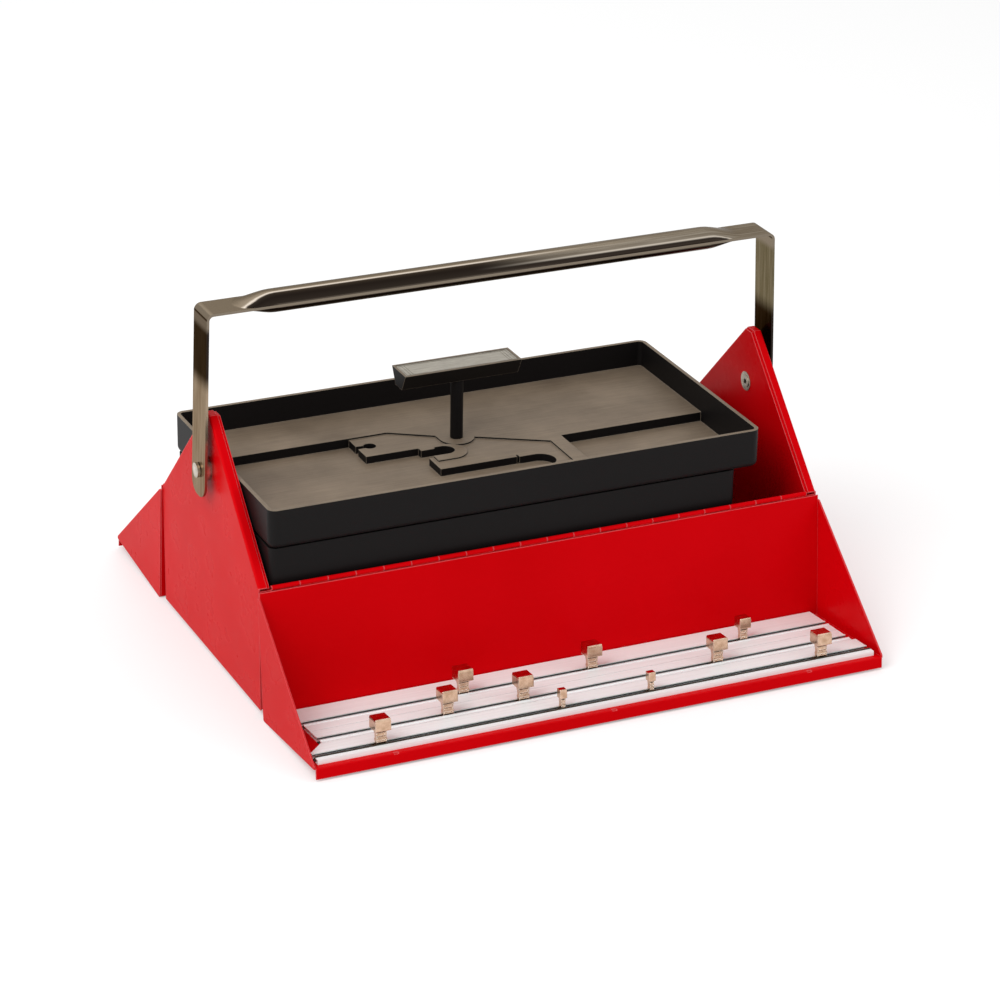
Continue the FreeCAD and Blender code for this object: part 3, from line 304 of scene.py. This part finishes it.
def black_plastic():
    """Moulded plastic with a fine grain; what faces up is painted light brown as a sheen with dust
    streaks, and the edges are painted light as highlights.
    """
    material, tree, shader, add = new_material("black_plastic")
    place = object_place(add, (1, 1, 1))
    grain = noise(add, place, 1300.0, 3.0)
    streaks = noise(add, object_place(add, (1.5, 26.0, 26.0)), 23.0, 5.0, 0.55)
    cloud = noise(add, place, 16.0, 5.0, 0.6)
    total = add("Math", operation="MULTIPLY_ADD")
    tree.links.new(streaks, total.inputs[0])
    total.inputs[1].default_value = DUST_STREAK_SHARE
    tree.links.new(cloud, total.inputs[2])
    # painted sheen and dust: up-facing faces above the bin get a lighter, streaked brown than the
    # near-black walls
    sheen_and_dust = ramp(add, total.outputs["Value"], [(0.50, (0.150, 0.112, 0.078)),
                                               (0.95, (0.240, 0.184, 0.130))])
    flat, soft_normal = flatness(add, 0.0006, 0.90)
    exposed = fade(add, coordinates(add, "Object")["Z"], SHEEN_AND_DUST_LEVEL, SHEEN_AND_DUST_LEVEL + SHEEN_AND_DUST_FADE)
    up = product(add, fade(add, coordinates(add, "Normal")["Z"], 0.55, 0.98), exposed)
    body = mixed(add, up, (0.0060, 0.0050, 0.0050), sheen_and_dust)
    edge = add("Math", operation="SUBTRACT")
    edge.inputs[0].default_value = 1.0
    tree.links.new(flat, edge.inputs[1])
    # painted highlight: folds and cut edges above the bin are made light brown
    edge_highlight = mixed(add, product(add, edge.outputs["Value"], exposed), body, (0.26, 0.215, 0.165))
    set_shader(tree, shader, Base_Color=edge_highlight, Roughness=0.50, Specular_IOR_Level=0.12,
               Normal=bump(add, grain, 0.08, 0.0003, soft_normal))
    return material


def nickel_plate():
    """Bright plate over steel with painted reflections: dark, beige, olive and light bands set by
    height and by which way each face points, in long streaks along the strip and grip.
    """
    material, tree, shader, add = new_material("nickel_plate")
    place = coordinates(add, "Object")
    normal = coordinates(add, "Normal")
    along = noise(add, object_place(add, (1.0, 26.0, 1.2)), 22.0, 4.0, 0.55)
    beige = ramp(add, along, [(0.35, (0.25, 0.18, 0.115)), (0.65, (0.40, 0.31, 0.22))])
    dark = ramp(add, along, [(0.35, (0.012, 0.009, 0.008)), (0.65, (0.030, 0.021, 0.017))])
    olive = ramp(add, along, [(0.35, (0.12, 0.098, 0.055)), (0.65, (0.21, 0.175, 0.115))])
    # painted reflections: each arm is dark above and beige or olive below a height, and the grip gets
    # dark, beige and light bands by which way its faces point
    left_arm = mixed(add, fade(add, place["Z"], *LEFT_ARM_CHANGE), beige, dark)
    right_arm = mixed(add, fade(add, place["Z"], *RIGHT_ARM_CHANGE), dark, olive)
    arms = mixed(add, fade(add, place["X"], *ARM_CHANGE), left_arm, right_arm)
    crown_reflection = ramp(add, along, [(0.35, (0.19, 0.155, 0.115)), (0.65, (0.30, 0.26, 0.205))])
    reflection_bands = ramp(add, spread(add, normal["Z"], -1.0, 1.0), [
        (0.00, (0.36, 0.33, 0.30)), (0.22, (0.020, 0.015, 0.012)), (0.34, (0.030, 0.022, 0.017)),
        (0.46, (0.30, 0.25, 0.19)), (0.56, (0.070, 0.052, 0.040)), (0.64, (0.022, 0.016, 0.012)),
        (0.86, (0.032, 0.024, 0.019)), (0.905, (0.62, 0.55, 0.46)), (0.935, (0.20, 0.165, 0.125))])
    right_grip = mixed(add, fade(add, normal["Z"], 0.84, 0.93), reflection_bands, crown_reflection)
    dark_reflection_bands = ramp(add, spread(add, normal["Y"], -1.0, 1.0), [
        (0.00, (0.16, 0.13, 0.10)), (0.06, (0.028, 0.021, 0.016)), (0.28, (0.018, 0.013, 0.010)),
        (0.40, (0.030, 0.023, 0.018)), (0.435, (0.60, 0.53, 0.45)), (0.465, (0.22, 0.18, 0.135)),
        (0.60, (0.20, 0.165, 0.12)), (0.75, (0.06, 0.047, 0.035)), (1.00, (0.030, 0.023, 0.018))])
    left_grip = mixed(add, fade(add, normal["Z"], 0.28, 0.36), reflection_bands, dark_reflection_bands)
    grip = mixed(add, fade(add, place["X"], *GRIP_CHANGE), left_grip, right_grip)
    colour = mixed(add, fade(add, place["Z"], *GRIP_START), arms, grip)
    set_shader(tree, shader, Base_Color=colour, Metallic=1.0, Roughness=0.22,
               Specular_Tint=(0.48, 0.45, 0.42, 1.0))
    return material


def rail_aluminium():
    """Drawn aluminium: pale, with fine lines along the rail; the slots' insides and a band behind the
    front slot are painted dark as shade.
    """
    material, tree, shader, add = new_material("rail_aluminium")
    drawn = noise(add, object_place(add, (1.0, 150.0, 150.0)), 9.0, 6.0, 0.62)
    pale = ramp(add, drawn, [(0.30, (0.85, 0.87, 0.87)), (0.62, (0.94, 0.98, 0.98))])
    deep = fade(add, across(add, LID_UP, LID_UP_OFFSET - RAIL_TOP), *SLOT_SHADE_DEPTHS)
    outward = add("Math", operation="MULTIPLY")
    tree.links.new(across(add, LID_OUT, LID_OUT_OFFSET), outward.inputs[0])
    outward.inputs[1].default_value = 1 / LID_DEPTH
    stops = [(0.0, (0, 0, 0))]
    for slot in SLOT_PLACES.values():
        stops.append(((slot - SLOT_REACH) / LID_DEPTH, (1, 1, 1)))
        stops.append(((slot + SLOT_REACH) / LID_DEPTH, (0, 0, 0)))
    in_slot = ramp(add, outward.outputs["Value"], stops, "CONSTANT")
    rim = SLOT_PLACES["front"] / LID_DEPTH
    on_rim = ramp(add, outward.outputs["Value"], [(0.0, (0, 0, 0)), (rim, (1, 1, 1)),
                                                  (rim + FRONT_RIM / LID_DEPTH, (0, 0, 0))], "CONSTANT")
    slot_shade = add("Math", operation="MAXIMUM")
    tree.links.new(product(add, deep, in_slot), slot_shade.inputs[0])
    tree.links.new(on_rim, slot_shade.inputs[1])
    # painted shade: near-black colour inside each slot below the top, and on a band behind the front
    # slot, stands in for the shadow in the channels
    colour = mixed(add, slot_shade.outputs["Value"], pale, (0.040, 0.042, 0.032))
    set_shader(tree, shader, Base_Color=colour, Metallic=0.05, Roughness=0.45, Specular_IOR_Level=0.25,
               Normal=bump(add, drawn, 0.10, 0.0003))
    return material


def clip_steel():
    """Copper-toned plating, polished enough to mirror the lid's wall; its rims and folds are painted
    pale as highlights.
    """
    material, tree, shader, add = new_material("clip_steel")
    spots = noise(add, object_place(add, (1, 1, 1)), 240.0, 3.0)
    plating = ramp(add, spots, [(0.30, (0.50, 0.31, 0.20)), (0.70, (0.72, 0.50, 0.36))])
    flat, soft_normal = flatness(add, 0.0008, 0.85)
    # painted highlight: rims and folds are made nearly white
    colour = mixed(add, flat, (0.97, 0.88, 0.79), plating)
    set_shader(tree, shader, Base_Color=colour, Metallic=1.0, Roughness=0.17, Normal=soft_normal)
    return material


def zinc_steel():
    material, tree, shader, add = new_material("zinc_steel")
    spots = noise(add, object_place(add, (1, 1, 1)), 300.0, 4.0)
    colour = ramp(add, spots, [(0.3, (0.34, 0.29, 0.22)), (0.7, (0.60, 0.54, 0.45))])
    set_shader(tree, shader, Base_Color=colour, Metallic=1.0, Roughness=0.26)
    return material


def plate_metal():
    material, tree, shader, add = new_material("plate_metal")
    brushed = noise(add, object_place(add, (4.0, 90.0, 1.0)), 30.0, 5.0, 0.6)
    colour = ramp(add, brushed, [(0.3, (0.19, 0.17, 0.14)), (0.7, (0.38, 0.35, 0.29))])
    set_shader(tree, shader, Base_Color=colour, Metallic=0.9, Roughness=0.38)
    return material


def black_rubber():
    material, tree, shader, add = new_material("black_rubber")
    fine = noise(add, object_place(add, (1, 1, 1)), 500.0, 4.0)
    colour = ramp(add, fine, [(0.3, (0.016, 0.016, 0.016)), (0.7, (0.03, 0.03, 0.03))])
    set_shader(tree, shader, Base_Color=colour, Roughness=0.8, Normal=bump(add, fine, 0.2, 0.0004))
    return material


MATERIALS = {
    "red_paint": red_paint(),
    "black_plastic": black_plastic(),
    "nickel_plate": nickel_plate(),
    "rail_aluminium": rail_aluminium(),
    "clip_steel": clip_steel(),
    "zinc_steel": zinc_steel(),
    "plate_metal": plate_metal(),
    "black_rubber": black_rubber(),
}


def dress_nodes():
    """Gives each CAD node the finish of its slot."""
    for part in record["subparts"]:
        item = nodes[part["node"]]
        item.data.materials.clear()
        item.data.materials.append(MATERIALS[part["material_slot"]])


def join_rings(mesh, rings):
    """Joins four-cornered rings in turn and closes both ends."""
    for first, second in zip(rings, rings[1:]):
        for index in range(4):
            following = (index + 1) % 4
            mesh.faces.new((first[index], first[following], second[following], second[index]))
    mesh.faces.new(rings[0][::-1])
    mesh.faces.new(rings[-1])


def add_block(mesh, low, high):
    """A closed block between two corners."""
    outline = ((low[0], low[1]), (high[0], low[1]), (high[0], high[1]), (low[0], high[1]))
    join_rings(mesh, [[mesh.verts.new((x, y, z)) for x, y in outline] for z in (low[2], high[2])])


def add_cap(mesh, x, y, half, low, high, metal):
    """A thin square cap, closed at its low end and open at its high end, slightly drawn in below."""
    closed_half = half * CAP_TAPER
    profile = ((closed_half, low), (half, low + half * CAP_TAPER_HEIGHT), (half, high),
               (half - metal, high), (closed_half - metal, low + metal))
    join_rings(mesh, [[mesh.verts.new((x + side * reach, y + depth * reach, level))
                       for side, depth in ((-1, -1), (1, -1), (1, 1), (-1, 1))]
                      for reach, level in profile])


def add_strip(mesh, path, thick, y_low, y_high):
    """A bent strip of sheet that follows a path in X and Z."""
    rows = []
    for index, point in enumerate(path):
        before = Vector(path[max(index - 1, 0)])
        after = Vector(path[min(index + 1, len(path) - 1)])
        along = (after - before).normalized()
        side = Vector((-along.y, along.x)) * thick / 2
        rows.append([mesh.verts.new((point[0] + sign * side.x, y, point[1] + sign * side.y))
                     for sign, y in ((-1, y_low), (1, y_low), (1, y_high), (-1, y_high))])
    join_rings(mesh, rows)


def add_piece(name, mesh, slot, body, replaced, rounding):
    """Turns the drawn mesh into a piece that stands for a CAD node and rides with its body."""
    bmesh.ops.recalc_face_normals(mesh, faces=mesh.faces[:])
    data = bpy.data.meshes.new(name)
    mesh.to_mesh(data)
    mesh.free()
    item = bpy.data.objects.new(name, data)
    bpy.context.scene.collection.objects.link(item)
    data.materials.append(MATERIALS[slot])
    bevel = item.modifiers.new("rounding", "BEVEL")
    bevel.width = rounding
    bevel.segments = ROUNDING_SEGMENTS
    bevel.limit_method = "ANGLE"
    bevel.angle_limit = ROUNDING_ANGLE
    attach(item, body)
    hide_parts(replaced)


def make_clip(node_name):
    """Folded head on two sprung legs, whose foot runs in the rail; drawn with the lid closed."""
    kind = OTHER_CLIPS.get(node_name, "large")
    low_corner, high_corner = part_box(node_name)
    x = (low_corner[0] + high_corner[0]) / 2
    half = (high_corner[0] - low_corner[0]) / 2
    y = SLOT_PLACES[node_name.split("_")[0]]
    base = RAIL_TOP - RAIL_BEAD - CLIP_NECK_HEIGHTS[kind]
    top = base - CLIP_HEAD_HEIGHTS[kind]
    foot = RAIL_CEILING + CLIP_SEAT
    mesh = bmesh.new()
    add_cap(mesh, x, y, half, top, base, CLIP_METAL)
    neck = foot - base
    for side in (-1, 1):
        path = [(x + side * share * (half - CLIP_METAL), base + neck * drop)
                for share, drop in LEG_SHAPE]
        add_strip(mesh, path, CLIP_METAL, y - CLIP_STEM / 2, y + CLIP_STEM / 2)
    reach = (half - CLIP_METAL) * LEG_WAIST
    add_block(mesh, (x - reach, y - CLIP_METAL, base - CLIP_METAL), (x + reach, y + CLIP_METAL, foot))
    for share in RIB_SHARES:
        level = base + neck * share
        add_block(mesh, (x - reach, y - CLIP_STEM / 2, level - RIB_HALF),
                  (x + reach, y + CLIP_STEM / 2, level + RIB_HALF))
    add_block(mesh, (x - half + CLIP_METAL, y - CLIP_FOOT / 2, foot),
              (x + half - CLIP_METAL, y + CLIP_FOOT / 2, foot + CLIP_FOOT_HEIGHT))
    turn = Matrix.Translation(LID_HINGE) @ Matrix.Rotation(LID_SWING, 4, "X")
    bmesh.ops.transform(mesh, matrix=turn, verts=mesh.verts[:])
    add_piece(node_name + "_folded", mesh, "clip_steel", node_name, node_name, CLIP_ROUNDING)


def make_grip_plate():
    """Pressed plate on the grip's bar: a low rim all round and two low bars near each end."""
    low, high = (Vector(corner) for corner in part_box("tray_grip_plate"))
    mesh = bmesh.new()
    add_block(mesh, low, high)
    level = high.z + PLATE_RELIEF
    rim = PLATE_RIM
    inner_low = Vector((low.x + PLATE_INSET, low.y + PLATE_INSET))
    inner_high = Vector((high.x - PLATE_INSET, high.y - PLATE_INSET))
    strips = [
        ((inner_low.x, inner_low.y), (inner_high.x, inner_low.y + rim)),
        ((inner_low.x, inner_high.y - rim), (inner_high.x, inner_high.y)),
        ((inner_low.x, inner_low.y + rim), (inner_low.x + rim, inner_high.y - rim)),
        ((inner_high.x - rim, inner_low.y + rim), (inner_high.x, inner_high.y - rim)),
    ]
    for step in PLATE_BAR_STEPS:
        for start in (inner_low.x + step, inner_high.x - step - rim):
            strips.append(((start, inner_low.y + 2 * rim), (start + rim, inner_high.y - 2 * rim)))
    for first, second in strips:
        add_block(mesh, (*first, high.z - PLATE_SINK), (*second, level))
    add_piece("grip_plate_pressed", mesh, "plate_metal", "lift_tray", "tray_grip_plate", PLATE_ROUNDING)


def make_camera():
    azimuth = math.radians(CAMERA_AZIMUTH)
    elevation = math.radians(CAMERA_ELEVATION)
    roll = math.radians(CAMERA_ROLL)
    out = Vector((math.sin(azimuth) * math.cos(elevation), -math.cos(azimuth) * math.cos(elevation),
                  math.sin(elevation)))
    place = CAMERA_TARGET + out * CAMERA_DISTANCE
    right = (-out).cross(Vector((0, 0, 1))).normalized()
    up = right.cross(-out)
    aim = CAMERA_TARGET + right * CAMERA_AIM_RIGHT + up * CAMERA_AIM_UP
    forward = (aim - place).normalized()
    right = forward.cross(Vector((0, 0, 1))).normalized()
    up = right.cross(forward)
    rolled_right = right * math.cos(roll) + up * math.sin(roll)
    rolled_up = up * math.cos(roll) - right * math.sin(roll)
    data = bpy.data.cameras.new("camera")
    camera = bpy.data.objects.new("camera", data)
    bpy.context.scene.collection.objects.link(camera)
    turn = Matrix((rolled_right, rolled_up, -forward)).transposed()
    camera.matrix_world = Matrix.Translation(place) @ turn.to_4x4()
    data.sensor_width = SENSOR_WIDTH
    data.lens = FOCAL_PIXELS / FRAME_PIXELS * SENSOR_WIDTH
    data.clip_end = VIEW_END
    bpy.context.scene.camera = camera


def area_light(name, place, aim, size, power):
    data = bpy.data.lights.new(name, "AREA")
    data.shape = "RECTANGLE"
    data.size, data.size_y = size
    data.energy = power
    lamp = bpy.data.objects.new(name, data)
    bpy.context.scene.collection.objects.link(lamp)
    lamp.location = place
    lamp.rotation_euler = (Vector(aim) - Vector(place)).to_track_quat("-Z", "Y").to_euler()


def make_world():
    world = bpy.data.worlds.new("studio")
    bpy.context.scene.world = world
    world.use_nodes = True
    tree = world.node_tree
    background = tree.nodes["Background"]
    background.inputs["Color"].default_value = (1, 1, 1, 1)
    strength = tree.nodes.new("ShaderNodeMapRange")
    strength.inputs["To Min"].default_value = WORLD_STRENGTH
    strength.inputs["To Max"].default_value = BACKDROP_STRENGTH
    tree.links.new(sees_backdrop(tree), strength.inputs["Value"])
    tree.links.new(strength.outputs["Result"], background.inputs["Strength"])


def make_floor():
    """Pale floor that the camera sees near white, with the object's shadow on it."""
    mesh = bpy.data.meshes.new("floor")
    half = FLOOR_HALF
    mesh.from_pydata([(-half, -half, 0), (half, -half, 0), (half, half, 0), (-half, half, 0)], [],
                     [(0, 1, 2, 3)])
    floor = bpy.data.objects.new("floor", mesh)
    bpy.context.scene.collection.objects.link(floor)
    material, tree, shader, add = new_material("floor")
    tree.nodes.remove(shader)
    diffuse = add("BsdfDiffuse", Color=(FLOOR_GREY, FLOOR_GREY, FLOOR_GREY, 1))
    shaded = add("BsdfDiffuse", Color=(FLOOR_SEEN_GREY, FLOOR_SEEN_GREY, FLOOR_SEEN_GREY, 1))
    glow = add("Emission", Color=(1, 1, 1, 1), Strength=FLOOR_GLOW)
    seen = add("AddShader")
    tree.links.new(shaded.outputs["BSDF"], seen.inputs[0])
    tree.links.new(glow.outputs["Emission"], seen.inputs[1])
    mix = add("MixShader")
    tree.links.new(sees_backdrop(tree), mix.inputs["Fac"])
    tree.links.new(diffuse.outputs["BSDF"], mix.inputs[1])
    tree.links.new(seen.outputs["Shader"], mix.inputs[2])
    tree.links.new(mix.outputs["Shader"], tree.nodes["Material Output"].inputs["Surface"])
    mesh.materials.append(material)


bpy.context.scene.view_settings.view_transform = "Standard"
dress_nodes()
for part in record["subparts"]:
    if part["material_slot"] == "clip_steel":
        make_clip(part["node"])
make_grip_plate()
make_camera()
make_world()
make_floor()
for lamp_values in LAMPS:
    area_light(*lamp_values)
